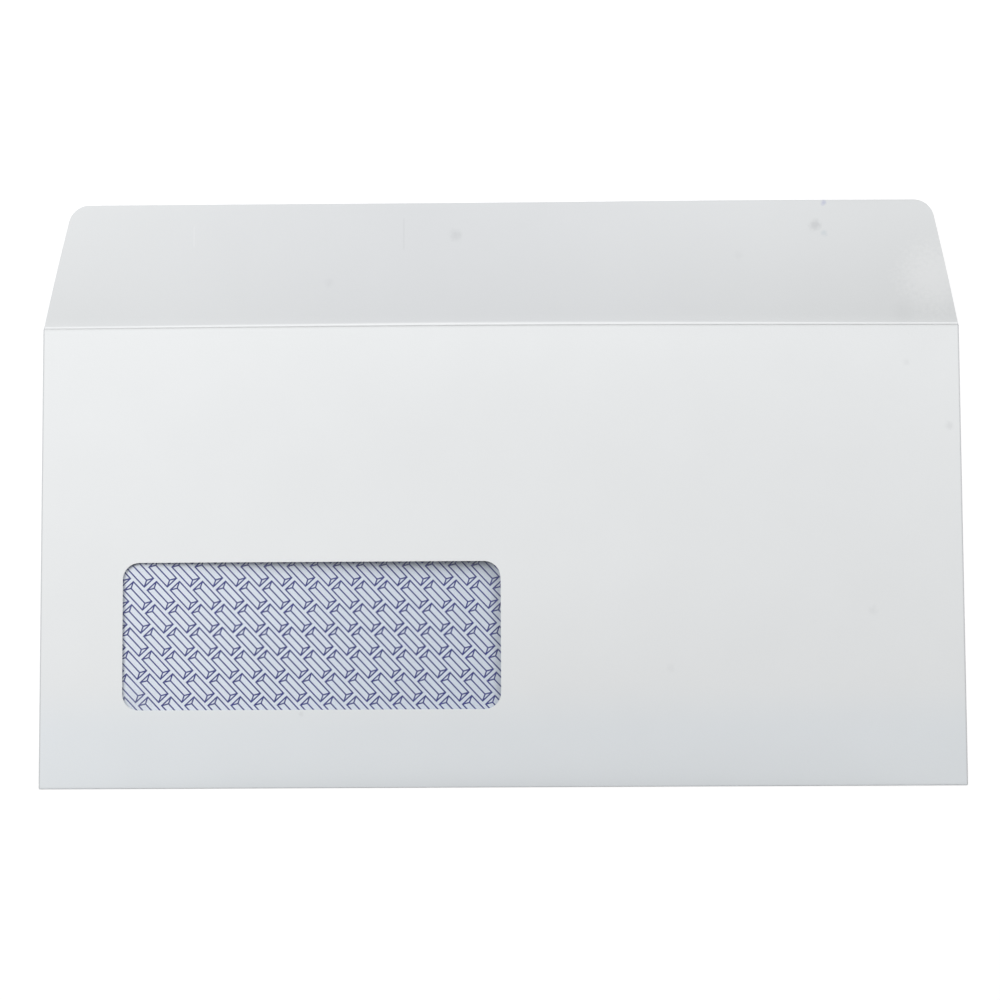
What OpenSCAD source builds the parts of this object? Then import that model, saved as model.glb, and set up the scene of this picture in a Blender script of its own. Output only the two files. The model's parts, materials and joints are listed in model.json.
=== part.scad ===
// Wallet envelope of white paper with an address window, lying face up with its flap open.
// One sheet makes the front panel, the back panel, two side flaps and the closing flap.
// A clear film patch closes the window from inside, and the back panel's inner face
// carries a printed tint of hipped bars, which shows through the window.

/* [Envelope body] */
// Width of the body between its side folds
env_w = 220; // [200:1:330]
// Height of the body from its bottom fold to the flap's crease
env_h = 110; // [100:1:240]
// Thickness of the paper
paper_t = 0.11; // [0.08:0.01:0.2]
// Clear height inside a side fold
fold_gap = 0.09; // [0.05:0.01:0.3]

/* [Pocket] */
// Rise of the front panel over its folded edges, in the middle of the mouth
pocket_rise = 4.4; // [3:0.1:12]
// Slimness of the curve between the side folds, higher stays lower near the folds
side_slimness = 1.5; // [1:0.1:3]
// Share of the rise that the lower front panel has, as it bulges over the bottom fold
bulge_share = 0.65; // [0.3:0.05:1]
// Distance from the bottom fold over which the lower front panel rises
bulge_run = 66; // [30:1:90]
// Fullness of the curve above the bottom fold, higher rises sooner
bulge_fullness = 2.2; // [1.5:0.1:4]
// Distance below the crease over which the mouth opens
mouth_run = 55; // [30:1:90]
// Distance that the raised middle of the crease is drawn towards the bottom fold
crease_draw = 0.3; // [0:0.05:1]

/* [Closing flap] */
// Depth of the flap from the crease to its edge
flap_d = 29.8; // [20:0.1:60]
// Slope of the flap's sides, in degrees
flap_taper = 13; // [5:1:30]
// Radius of the flap's corners
flap_corner_r = 5; // [2:0.5:10]
// Lift of the flap at its left end, in degrees
lift_left = 1; // [0:0.5:20]
// Lift of the flap at its right end, in degrees
lift_right = 6; // [0:0.5:20]
// Height of the flap's curve over a straight line from the crease to its edge
flap_curl = 0.6; // [0:0.1:3]
// Height of the ridge that the reopened crease leaves
ridge_h = 0.12; // [0.04:0.01:0.2]
// Width of the ridge on the body's side of the crease
ridge_body_w = 0.24; // [0.15:0.01:0.5]
// Width of the ridge on the flap's side of the crease
ridge_flap_w = 0.46; // [0.3:0.01:1.5]

/* [Back panel and side flaps] */
// Distance of the back panel's free edge below the crease
throat_drop = 3; // [1:0.5:20]
// Distance of the back panel's sides inside the body's sides
back_inset = 0.8; // [0.5:0.1:2]
// Radius of the back panel's two free corners
back_corner_r = 4; // [1:0.5:10]
// Width of a side flap
side_flap_w = 17; // [12:1:30]
// Height that the slanted end of a side flap takes up
side_flap_slant = 9; // [4:1:15]
// Thickness of the gum between a side flap and the back panel
gum_t = 0.03; // [0.01:0.01:0.05]
// Width of the gummed strip on a side flap
gum_w = 9; // [4:1:10]

/* [Window] */
// Width of the window
window_w = 90; // [60:1:110]
// Height of the window
window_h = 35; // [25:1:50]
// Distance of the window from the body's left fold
window_left = 19.7; // [15:0.1:40]
// Distance of the window from the body's bottom fold
window_up = 18.5; // [12:0.5:35]
// Radius of the window's corners
window_r = 4; // [2:0.5:10]
// Overlap of the film patch on the paper round the window
film_margin = 7; // [4:1:10]
// Thickness of the film
film_t = 0.04; // [0.02:0.01:0.08]
// Thickness of the gum line between film and paper
film_gum = 0.02; // [0.01:0.01:0.04]

/* [Tint print] */
// Length of a printed bar, between the middles of its outlines
bar_l = 6.46; // [4:0.1:10]
// Width of a printed bar, between the middles of its outlines
bar_w = 2.99; // [2:0.1:5]
// Depth of a bar's hipped ends
bar_hip = 0.8; // [0.6:0.1:1.5]
// Gap between the outlines of bars that follow each other
bar_gap_along = 1.05; // [0.6:0.05:2]
// Gap between the outlines of bars side by side
bar_gap_across = 1.03; // [0.6:0.05:2]
// Fall of the bars to the right, in degrees below the horizontal
bar_fall = 46.95; // [30:0.5:60]
// Width of a printed line
line_w = 0.32; // [0.2:0.02:0.4]
// Thickness of the ink as modelled
ink_t = 0.02; // [0.01:0.01:0.04]
// Distance that the print runs on past the window's edge
print_margin = 0.8; // [0:0.1:2]
// Distance of the first bar's centre from the window's left edge
first_bar_x = 14.1; // [5:0.1:30]
// Distance of the first bar's centre from the window's lower edge
first_bar_y = 21.7; // [5:0.1:30]

/* [Hidden] */

// Heights of the paper's middle surface in each layer, from the table up
back_z = paper_t / 2;
side_z = back_z + paper_t + gum_t;
front_z = side_z + paper_t + fold_gap;
side_fold_r = (front_z - side_z) / 2;
bottom_fold_r = (front_z - back_z) / 2;

// Lines where the folds begin and end, on the front panel
x_edge = env_w / 2 - side_fold_r - paper_t / 2;
y_bottom = -env_h / 2 + bottom_fold_r + paper_t / 2;
y_crease = env_h / 2;
y_ridge = y_crease - ridge_body_w;
y_throat = y_crease - throat_drop;
back_half_w = env_w / 2 - back_inset;

// Window and film outlines, as [left, bottom, width, height]
window_box = [window_left - env_w / 2, window_up - env_h / 2, window_w, window_h];
film_box = grown(window_box, film_margin);
print_box = grown(window_box, print_margin);

// Steps of the paper's mesh: across the body, round a fold, up the front panel, up the flap, round a corner
across_n = 24;
fold_n = 4;
front_n = 14;
flap_n = 4;
corner_n = 3;

// How much closer together the mesh's columns stand at the side folds, and its rows at both ends of the front
column_ease = 0.25;
row_ease = 0.35;

// Halfway down the ridge's slope on the flap, as a share of its width and of its height
ridge_mid = [0.4, 0.45];

// Colours of paper, film and ink
paper_white = [0.93, 0.94, 0.94];
film_clear = [0.85, 0.9, 0.95, 0.35];
ink_blue = [0.3, 0.3, 0.6];

function grown(box, m) = [box[0] - m, box[1] - m, box[2] + 2 * m, box[3] + 2 * m];

// Share of the pocket's rise across the body, where u runs from -1 to 1 between the side folds
function across_share(u) = pow(1 - u * u, side_slimness);

// Eased step from 0 to 1
function eased(t) = let (s = min(max(t, 0), 1)) s * s * (3 - 2 * s);

// Share of the pocket's rise up the body, at a distance above the bottom fold
function up_share(d) =
    bulge_share * (1 - pow(1 - min(d / bulge_run, 1), bulge_fullness))
    + (1 - bulge_share) * eased(1 - (y_ridge - y_bottom - d) / mouth_run);

// The flap narrows to the centre of its corner's arc, which starts at a depth of corner_start
function flap_half_w(d) = x_edge - d * tan(flap_taper);
corner_start = flap_d - flap_corner_r * (1 - sin(flap_taper));
corner_x = flap_half_w(flap_d) - flap_corner_r * tan((90 - flap_taper) / 2);

// A row of the sheet is [y, z, tilt of its outer face, half width, share of the rise, depth in the flap]
back_rows = [for (k = [0:corner_n])
    let (a = 90 * k / corner_n)
    [y_throat - back_corner_r * (1 - cos(a)), back_z, 180,
     back_half_w - back_corner_r * (1 - sin(a)), 0, 0]];
bottom_rows = [for (k = [0:fold_n - 1])
    let (a = 180 * (1 - k / fold_n), half = x_edge + (back_half_w - x_edge) * a / 180)
    [y_bottom - bottom_fold_r * sin(a), front_z - bottom_fold_r * (1 - cos(a)), a, half, 0, 0]];
front_rows = [for (k = [0:front_n])
    let (w = k / front_n, d = (y_ridge - y_bottom) * (w - row_ease * sin(360 * w) / (2 * PI)))
    [y_bottom + d, front_z, 0, x_edge, up_share(d), 0]];
ridge_rows = [for (step = [[0, 1], ridge_mid])
    let (d = ridge_flap_w * step[0])
    [y_crease + d, front_z + ridge_h * step[1], 0, flap_half_w(d), 1, 0]];
flap_rows = concat(
    [for (k = [0:flap_n])
        let (d = ridge_flap_w + (corner_start - ridge_flap_w) * k / flap_n)
        [y_crease, front_z, 0, flap_half_w(d), 1, d]],
    [for (k = [1:corner_n + 1])
        let (a = (90 - flap_taper) * (1 - k / (corner_n + 1)))
        [y_crease, front_z, 0, corner_x + flap_corner_r * sin(a), 1,
         flap_d - flap_corner_r * (1 - cos(a))]]);
rows = concat(back_rows, bottom_rows, front_rows, ridge_rows, flap_rows);
first_front = len(back_rows) + len(bottom_rows);
last_front = first_front + front_n;

// Column positions from -1 to 1, closer together near the side folds
function column(i) = let (s = 2 * i / across_n - 1) s * (1 + column_ease * (1 - s * s));

// Slope of the flap at a column, measured from the raised crease straight to its free edge
function flap_slope(u) =
    lift_left + (lift_right - lift_left) * (u + 1) / 2 - atan(pocket_rise * across_share(u) / flap_d);

// Middle surface and outward normal of the strip that runs from the back panel to the flap
function strip_point(u, row) =
    let (share = row[4] * across_share(u), a = flap_slope(u),
         t = row[5] / flap_d, drawn = crease_draw * share * (1 - t), curl = 4 * flap_curl * t * (1 - t))
    [u * row[3], row[0] - drawn + row[5] * cos(a), row[1] + pocket_rise * share + row[5] * sin(a) + curl];
function strip_normal(u, row) =
    let (a = row[5] > 0 ? flap_slope(u) + atan(4 * flap_curl * (1 - 2 * row[5] / flap_d) / flap_d) : row[2])
    [0, -sin(a), cos(a)];

// The same for a side flap, k steps past the side fold's start, on the side -1 or 1
function side_point(side, k, row) =
    let (a = 180 * min(k / fold_n, 1), in = k > fold_n ? 1 : 0)
    [side * (x_edge + side_fold_r * sin(a) - side_flap_w * in),
     (row[0] - flap_mid_y) * (1 - side_flap_slant / flap_half_h * in) + flap_mid_y,
     front_z - side_fold_r * (1 - cos(a))];
function side_normal(side, k) = let (a = 180 * min(k / fold_n, 1)) [side * sin(a), 0, cos(a)];
flap_mid_y = (y_bottom + y_ridge) / 2;
flap_half_h = (y_ridge - y_bottom) / 2;

// The flat blank is a cross on a grid: side_n columns of each side flap, with the strip between
side_n = fold_n + 1;
columns = across_n + 2 * side_n;
function side_step(i) = i < side_n ? side_n - i : i > side_n + across_n ? i - side_n - across_n : 0;
function side_of(i) = i < side_n ? -1 : 1;
function sheet_point(i, j, offset) =
    let (k = side_step(i), u = column(i - side_n))
    k > 0 ? side_point(side_of(i), k, rows[j]) + offset * side_normal(side_of(i), k)
          : strip_point(u, rows[j]) + offset * strip_normal(u, rows[j]);
in_strip = function (i, j) i >= side_n && i < side_n + across_n && j >= 0 && j < len(rows) - 1;
in_sides = function (i, j) i >= 0 && i < columns && j >= first_front && j < last_front;
in_blank = function (i, j) in_strip(i, j) || in_sides(i, j);

// Cells of the front panel that lie under the film patch
function sheet_x(i) = x_edge * column(i - side_n);
in_film = function (i, j)
    in_strip(i, j) && j >= first_front && j < last_front
    && sheet_x(i + 1) > film_box[0] && sheet_x(i) < film_box[0] + film_box[2]
    && rows[j + 1][0] > film_box[1] && rows[j][0] < film_box[1] + film_box[3];

// Closed solid between two offsets of the folded sheet, over the grid cells that has() keeps
module sheet_layer(outer, inner, has) {
    n = columns + 1;
    layer = n * len(rows);
    points = [for (offset = [outer, inner], j = [0:len(rows) - 1], i = [0:columns]) sheet_point(i, j, offset)];
    function out(i, j) = j * n + i;
    function inn(i, j) = layer + j * n + i;
    quads = [for (j = [0:len(rows) - 2], i = [0:columns - 1]) if (has(i, j)) each [
        [out(i, j), out(i, j + 1), out(i + 1, j + 1), out(i + 1, j)],
        [inn(i, j), inn(i + 1, j), inn(i + 1, j + 1), inn(i, j + 1)],
        if (!has(i - 1, j)) [out(i, j), inn(i, j), inn(i, j + 1), out(i, j + 1)],
        if (!has(i + 1, j)) [out(i + 1, j), out(i + 1, j + 1), inn(i + 1, j + 1), inn(i + 1, j)],
        if (!has(i, j - 1)) [out(i, j), out(i + 1, j), inn(i + 1, j), inn(i, j)],
        if (!has(i, j + 1)) [out(i + 1, j + 1), out(i, j + 1), inn(i, j + 1), inn(i + 1, j + 1)]
    ]];
    polyhedron(points, [for (q = quads) each [[q[0], q[1], q[2]], [q[0], q[2], q[3]]]]);
}

// Rectangle with true arcs at its corners, from a box [left, bottom, width, height]
module rounded_box(box, r) {
    translate([box[0], box[1]]) {
        translate([r, 0]) square([box[2] - 2 * r, box[3]]);
        translate([0, r]) square([box[2], box[3] - 2 * r]);
        for (x = [r, box[2] - r], y = [r, box[3] - r])
            translate([x, y]) circle(r = r, $fn = 48);
    }
}

// Gummed strip that joins a side flap to the back panel
module gum_strip(side) {
    length = 2 * (flap_half_h - side_flap_slant) - gum_w;
    translate([side * (x_edge - side_flap_w / 2) - gum_w / 2, flap_mid_y - length / 2, back_z])
        cube([gum_w, length, side_z - back_z]);
}

module folded_sheet() {
    color(paper_white) difference() {
        union() {
            sheet_layer(paper_t / 2, -paper_t / 2, in_blank);
            for (side = [-1, 1]) gum_strip(side);
        }
        translate([0, 0, front_z])
            linear_extrude(pocket_rise + paper_t) rounded_box(window_box, window_r);
    }
}

module window_film() {
    top = -paper_t / 2 - film_gum;
    color(film_clear) intersection() {
        sheet_layer(top, top - film_t, in_film);
        linear_extrude(front_z + pocket_rise) rounded_box(film_box, window_r);
    }
}

// Corners of a convex outline moved inwards by d, with the outline given anticlockwise
function side_in(p, q) = [p[1] - q[1], q[0] - p[0]] / norm(q - p);
function inset(outline, d) = [for (i = [0:len(outline) - 1])
    let (n = len(outline), p = outline[(i + n - 1) % n], q = outline[i], r = outline[(i + 1) % n],
         a = side_in(p, q), b = side_in(q, r))
    q + d * (a + b) / (1 + a * b)];

// Outlines of one printed bar: the hipped roof's edge, its two long faces and its two hips
half_l = bar_l / 2;
half_w = bar_w / 2;
ridge_end = half_l - bar_hip;
roof = [[-half_l, -half_w], [half_l, -half_w], [half_l, half_w], [-half_l, half_w]];
long_face = [[-half_l, -half_w], [half_l, -half_w], [ridge_end, 0], [-ridge_end, 0]];
hip = [[half_l, -half_w], [half_l, half_w], [ridge_end, 0]];
function turned(outline) = [for (p = outline) -p];
faces = [long_face, turned(long_face), hip, turned(hip)];

// One bar in printed lines, lying along X
module bar() {
    difference() {
        polygon(inset(roof, -line_w / 2));
        for (face = faces) polygon(inset(face, line_w / 2));
    }
}

// The bars stand in running bond: each line of bars is shifted by half a bar's pitch
pitch_along = bar_l + bar_gap_along;
pitch_across = bar_w + bar_gap_across;
first_bar = [window_box[0] + first_bar_x, window_box[1] + first_bar_y];
function bar_centre(m, k) =
    let (s = pitch_along * (m + k / 2), t = pitch_across * k)
    first_bar + [s * cos(bar_fall) + t * sin(bar_fall), t * cos(bar_fall) - s * sin(bar_fall)];
function shows(p) =
    abs(p[0] - print_box[0] - print_box[2] / 2) < (print_box[2] + bar_l) / 2
    && abs(p[1] - print_box[1] - print_box[3] / 2) < (print_box[3] + bar_l) / 2;

module tint_print() {
    reach = ceil((window_w + window_h) / pitch_across);
    color(ink_blue) translate([0, 0, paper_t]) linear_extrude(ink_t) intersection() {
        rounded_box(print_box, window_r);
        for (k = [-reach:reach], m = [-2 * reach:2 * reach])
            let (p = bar_centre(m, k))
            if (shows(p)) translate(p) rotate(-bar_fall) bar();
    }
}

folded_sheet();
window_film();
tint_print();
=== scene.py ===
"""Dresses a white paper envelope: its folded sheet, its window film and its printed tint.

Lengths are in metres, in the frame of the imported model. The origin is the middle of the body on the table,
X runs along the width, Y from the bottom fold towards the flap, and Z up.
"""

import json
import logging
import math
from collections.abc import Callable, Iterator
from contextlib import contextmanager
from dataclasses import dataclass, field
from enum import Enum

import bmesh
import bpy
from mathutils import Matrix, Vector

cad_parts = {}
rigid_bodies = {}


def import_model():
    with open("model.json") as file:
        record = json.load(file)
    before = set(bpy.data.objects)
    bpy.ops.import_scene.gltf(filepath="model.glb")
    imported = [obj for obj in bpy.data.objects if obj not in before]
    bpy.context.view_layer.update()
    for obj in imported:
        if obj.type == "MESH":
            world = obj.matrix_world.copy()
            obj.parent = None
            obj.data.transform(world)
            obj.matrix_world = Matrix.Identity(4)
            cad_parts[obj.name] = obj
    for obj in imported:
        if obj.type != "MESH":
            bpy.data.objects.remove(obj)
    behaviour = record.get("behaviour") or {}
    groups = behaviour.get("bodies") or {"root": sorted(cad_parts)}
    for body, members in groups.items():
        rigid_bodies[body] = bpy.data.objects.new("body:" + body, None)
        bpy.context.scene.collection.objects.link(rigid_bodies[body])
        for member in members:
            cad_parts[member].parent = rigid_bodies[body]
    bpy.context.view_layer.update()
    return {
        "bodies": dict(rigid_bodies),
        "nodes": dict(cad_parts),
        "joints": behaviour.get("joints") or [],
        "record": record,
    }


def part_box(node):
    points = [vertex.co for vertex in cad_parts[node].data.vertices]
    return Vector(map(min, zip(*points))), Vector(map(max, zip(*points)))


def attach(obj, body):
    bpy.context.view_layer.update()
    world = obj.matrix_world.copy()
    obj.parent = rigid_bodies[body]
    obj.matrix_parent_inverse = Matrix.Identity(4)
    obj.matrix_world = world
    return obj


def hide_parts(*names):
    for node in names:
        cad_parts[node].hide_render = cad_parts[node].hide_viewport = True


MM = 0.001
HAIR = 0.001 * MM
WHITE = (1.0, 1.0, 1.0, 1.0)
CORNER_SEGMENTS = 16
BLANK_MAP = "blank"

log = logging.getLogger("envelope")

Colour = tuple[float, float, float]
Socket = bpy.types.NodeSocket
PlaceTest = Callable[[Vector], bool]


class Side(Enum):
    """The two sides of the envelope, as the sign of X."""

    LEFT = -1
    RIGHT = 1


@dataclass(frozen=True)
class Box:
    """A rectangle on the envelope's face, in metres."""

    left: float
    bottom: float
    width: float
    height: float

    @property
    def right(self) -> float:
        """X of the right side."""
        return self.left + self.width

    @property
    def top(self) -> float:
        """Y of the top side."""
        return self.bottom + self.height

    @property
    def middle(self) -> Vector:
        """Centre of the rectangle, at Z 0."""
        return Vector((self.left + self.width / 2, self.bottom + self.height / 2, 0))

    def grown(self, margin: float) -> "Box":
        """The rectangle with a margin added on every side."""
        width, height = self.width + 2 * margin, self.height + 2 * margin
        return Box(self.left - margin, self.bottom - margin, width, height)

    def depth_inside(self, x: float, y: float) -> float:
        """Distance of a point from the nearest side, below zero outside the rectangle."""
        return min(x - self.left, self.right - x, y - self.bottom, self.top - y)


@dataclass(frozen=True)
class EnvelopeSizes:
    """Sizes of the envelope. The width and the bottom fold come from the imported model's box."""

    width: float
    bottom: float
    height: float = 110 * MM
    paper: float = 0.11 * MM
    fold_gap: float = 0.09 * MM
    gum: float = 0.03 * MM
    pocket_rise: float = 4.4 * MM
    side_slimness: float = 1.5
    bulge_share: float = 0.65
    bulge_run: float = 66 * MM
    bulge_fullness: float = 2.2
    mouth_run: float = 55 * MM
    crease_draw: float = 0.3 * MM
    flap_depth: float = 29.8 * MM
    flap_taper: float = math.radians(13)
    flap_corner: float = 5 * MM
    lift_left: float = math.radians(1)
    lift_right: float = math.radians(6)
    flap_curl: float = 0.6 * MM
    ridge_height: float = 0.12 * MM
    ridge_body: float = 0.24 * MM
    ridge_flap: float = 0.46 * MM
    throat_drop: float = 3 * MM
    back_inset: float = 0.8 * MM
    back_corner: float = 4 * MM
    side_flap: float = 17 * MM
    side_slant: float = 9 * MM
    gum_width: float = 9 * MM
    window_left: float = 19.7 * MM
    window_up: float = 18.5 * MM
    window_width: float = 90 * MM
    window_height: float = 35 * MM
    window_corner: float = 4 * MM
    film: float = 0.04 * MM
    film_gum: float = 0.02 * MM
    film_margin: float = 7 * MM

    @property
    def back_z(self) -> float:
        """Height of the back panel's middle surface."""
        return self.paper / 2

    @property
    def side_z(self) -> float:
        """Height of a side flap's middle surface."""
        return self.back_z + self.paper + self.gum

    @property
    def front_z(self) -> float:
        """Height of the front panel's middle surface at its folds."""
        return self.side_z + self.paper + self.fold_gap

    @property
    def side_fold(self) -> float:
        """Radius of a side fold's middle surface."""
        return (self.front_z - self.side_z) / 2

    @property
    def bottom_fold(self) -> float:
        """Radius of the bottom fold's middle surface."""
        return (self.front_z - self.back_z) / 2

    @property
    def edge(self) -> float:
        """Distance from the middle to the lines where the side folds begin."""
        return self.width / 2 - self.side_fold - self.paper / 2

    @property
    def lowest(self) -> float:
        """Y of the line where the bottom fold begins."""
        return self.bottom + self.bottom_fold + self.paper / 2

    @property
    def crease(self) -> float:
        """Y of the flap's crease."""
        return self.bottom + self.height

    @property
    def ridge(self) -> float:
        """Y of the line where the crease's ridge begins, on the body."""
        return self.crease - self.ridge_body

    @property
    def window(self) -> Box:
        """Outline of the window."""
        left = self.window_left - self.width / 2
        return Box(left, self.bottom + self.window_up, self.window_width, self.window_height)

    def flap_half_width(self, depth: float) -> float:
        """Half the flap's width at a depth from the crease, corner arcs included.

        Args:
            depth: Distance from the crease; below zero is on the body.

        Returns:
            Distance from the middle to the flap's side.
        """
        tapered = self.edge - max(depth, 0) * math.tan(self.flap_taper)
        reach = self.edge - self.flap_depth * math.tan(self.flap_taper)
        centre_x = reach - self.flap_corner * math.tan((math.pi / 2 - self.flap_taper) / 2)
        past = depth - (self.flap_depth - self.flap_corner)
        if past <= self.flap_corner * math.sin(self.flap_taper):
            return tapered
        return centre_x + math.sqrt(max(self.flap_corner**2 - past**2, 0))

    def across(self, x: float, y: float) -> float:
        """Place across the body or the flap, from -1 at its left side to 1 at its right."""
        return min(max(x / self.flap_half_width(y - self.crease), -1), 1)

    def share_up(self, y: float) -> float:
        """Share of the pocket's rise at a height: the bulge over the bottom fold, then the mouth."""
        up = min(max((y - self.lowest) / self.bulge_run, 0), 1)
        bulge = 1 - (1 - up) ** self.bulge_fullness
        mouth = eased(1 - (self.ridge - y) / self.mouth_run)
        return self.bulge_share * bulge + (1 - self.bulge_share) * mouth

    def share(self, x: float, y: float) -> float:
        """Share of the pocket's rise at a point of the front panel, or above it on the flap."""
        return (1 - self.across(x, y) ** 2) ** self.side_slimness * self.share_up(y)

    def rise(self, x: float, y: float) -> float:
        """How far the front panel stands over its flat folds at a point of the blank."""
        return self.pocket_rise * self.share(x, y)

    def flap_slope(self, x: float, y: float) -> float:
        """Slope in radians of the straight line up the flap, from the raised crease to its free edge."""
        lift = self.lift_left + (self.lift_right - self.lift_left) * (self.across(x, y) + 1) / 2
        return lift - math.atan(self.rise(x, y) / self.flap_depth)


@dataclass(frozen=True)
class TintSizes:
    """Sizes of the printed tint: bars with hipped ends in running bond, drawn in thin lines."""

    bar_length: float = 6.46
    bar_width: float = 2.99
    hip: float = 0.8
    gap_along: float = 1.05
    gap_across: float = 1.03
    fall: float = math.radians(46.95)
    line: float = 0.32
    first_bar: tuple[float, float] = (14.1, 21.7)


@dataclass(frozen=True)
class Wave:
    """A wave over the envelope, by its runs along X and along Y, and its phase."""

    run_x: float
    run_y: float
    phase: float = 0.0

    def at(self, x: float, y: float) -> float:
        """Height of the wave at a point, from -1 to 1."""
        return math.sin(x / self.run_x + y / self.run_y + self.phase)


def eased(value: float) -> float:
    """Eased step from 0 to 1."""
    share = min(max(value, 0), 1)
    return share * share * (3 - 2 * share)


def clear_selection() -> None:
    """Deselects every object, because operators act on all that is selected."""
    bpy.ops.object.select_all(action="DESELECT")


def hold(*pieces: bpy.types.Object) -> None:
    """Selects only these pieces and makes the first one active."""
    clear_selection()
    for piece in pieces:
        piece.select_set(True)
    bpy.context.view_layer.objects.active = pieces[0]


@contextmanager
def editing(piece: bpy.types.Object) -> Iterator[bpy.types.Object]:
    """Holds a piece in edit mode, with everything selected at the start."""
    hold(piece)
    bpy.ops.object.mode_set(mode="EDIT")
    bpy.ops.mesh.select_all(action="SELECT")
    try:
        yield piece
    finally:
        bpy.ops.object.mode_set(mode="OBJECT")


def pick_open_edges(piece: bpy.types.Object, test: PlaceTest) -> None:
    """Selects the open edges whose ends both pass a test.

    Args:
        piece: The piece that is being edited.
        test: Says of a point whether it is wanted.
    """
    bpy.ops.mesh.select_mode(type="EDGE")
    bpy.ops.mesh.select_all(action="DESELECT")
    cage = bmesh.from_edit_mesh(piece.data)
    for edge in cage.edges:
        if edge.is_boundary and all(test(end.co) for end in edge.verts):
            edge.select_set(True)
    bmesh.update_edit_mesh(piece.data)


def draw_out(step: tuple[float, float, float]) -> None:
    """Extrudes the selected edges by a step and leaves the new edges selected."""
    bpy.ops.mesh.extrude_region_move(TRANSFORM_OT_translate={"value": step})


def stretch(factors: tuple[float, float, float], centre: tuple[float, float, float]) -> None:
    """Scales what is selected about a centre."""
    bpy.ops.transform.resize(value=factors, center_override=centre)


def add_grid(name: str, box: Box, z: float, cell: float) -> bpy.types.Object:
    """Adds a flat sheet of square cells.

    Args:
        name: Name of the new piece.
        box: Outline of the sheet.
        z: Height of the sheet.
        cell: Side of a cell, about.

    Returns:
        The new piece, with its place in its mesh.
    """
    clear_selection()
    across, up = math.ceil(box.width / cell), math.ceil(box.height / cell)
    bpy.ops.mesh.primitive_grid_add(x_subdivisions=across, y_subdivisions=up, size=1)
    piece = bpy.context.object
    piece.name = piece.data.name = name
    with editing(piece):
        stretch((box.width, box.height, 1), (0, 0, 0))
        bpy.ops.transform.translate(value=(box.middle.x, box.middle.y, z))
    return piece


def add_rounded_block(name: str, box: Box, corner: float, z: tuple[float, float]) -> bpy.types.Object:
    """Adds an upright block with rounded corners, which cuts or trims a sheet.

    Args:
        name: Name of the block.
        box: Outline seen from above.
        corner: Radius of its corners.
        z: Heights of its bottom and its top.

    Returns:
        The new block.
    """
    clear_selection()
    bpy.ops.mesh.primitive_cube_add(size=1)
    block = bpy.context.object
    block.name = block.data.name = name
    with editing(block):
        stretch((box.width, box.height, z[1] - z[0]), (0, 0, 0))
        bpy.ops.transform.translate(value=(box.middle.x, box.middle.y, (z[0] + z[1]) / 2))
        bpy.ops.mesh.select_mode(type="EDGE")
        bpy.ops.mesh.select_all(action="DESELECT")
        cage = bmesh.from_edit_mesh(block.data)
        for edge in cage.edges:
            low, high = edge.verts
            edge.select_set(abs(low.co.z - high.co.z) > HAIR)
        bmesh.update_edit_mesh(block.data)
        bpy.ops.mesh.bevel(
            offset=corner, offset_type="OFFSET", segments=CORNER_SEGMENTS, affect="EDGES"
        )
    return block


def apply_modifier(piece: bpy.types.Object, name: str, kind: str, **settings: object) -> None:
    """Adds a modifier to a piece and applies it.

    Args:
        piece: The piece to change.
        name: What the modifier does.
        kind: Blender's type of modifier.
        **settings: The modifier's values.
    """
    hold(piece)
    modifier = piece.modifiers.new(name, kind)
    for key, value in settings.items():
        setattr(modifier, key, value)
    bpy.ops.object.modifier_apply(modifier=modifier.name)


def cut_with(piece: bpy.types.Object, block: bpy.types.Object, operation: str) -> None:
    """Cuts or trims a piece with a block, and removes the block."""
    apply_modifier(piece, operation.lower(), "BOOLEAN", operation=operation, solver="EXACT", object=block)
    bpy.data.objects.remove(block, do_unlink=True)


def smooth(piece: bpy.types.Object, angle: float = math.radians(35)) -> None:
    """Shades a piece smoothly up to an angle, so that cut edges stay sharp."""
    hold(piece)
    bpy.ops.object.shade_smooth_by_angle(angle=angle)


def hand_over(piece: bpy.types.Object, slot: str, *nodes: str) -> None:
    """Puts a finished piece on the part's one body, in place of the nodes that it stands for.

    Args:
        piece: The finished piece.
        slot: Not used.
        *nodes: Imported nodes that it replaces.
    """
    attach(piece, "root")
    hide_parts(*nodes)
    log.info("%s: %d faces", piece.name, len(piece.data.polygons))


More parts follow.
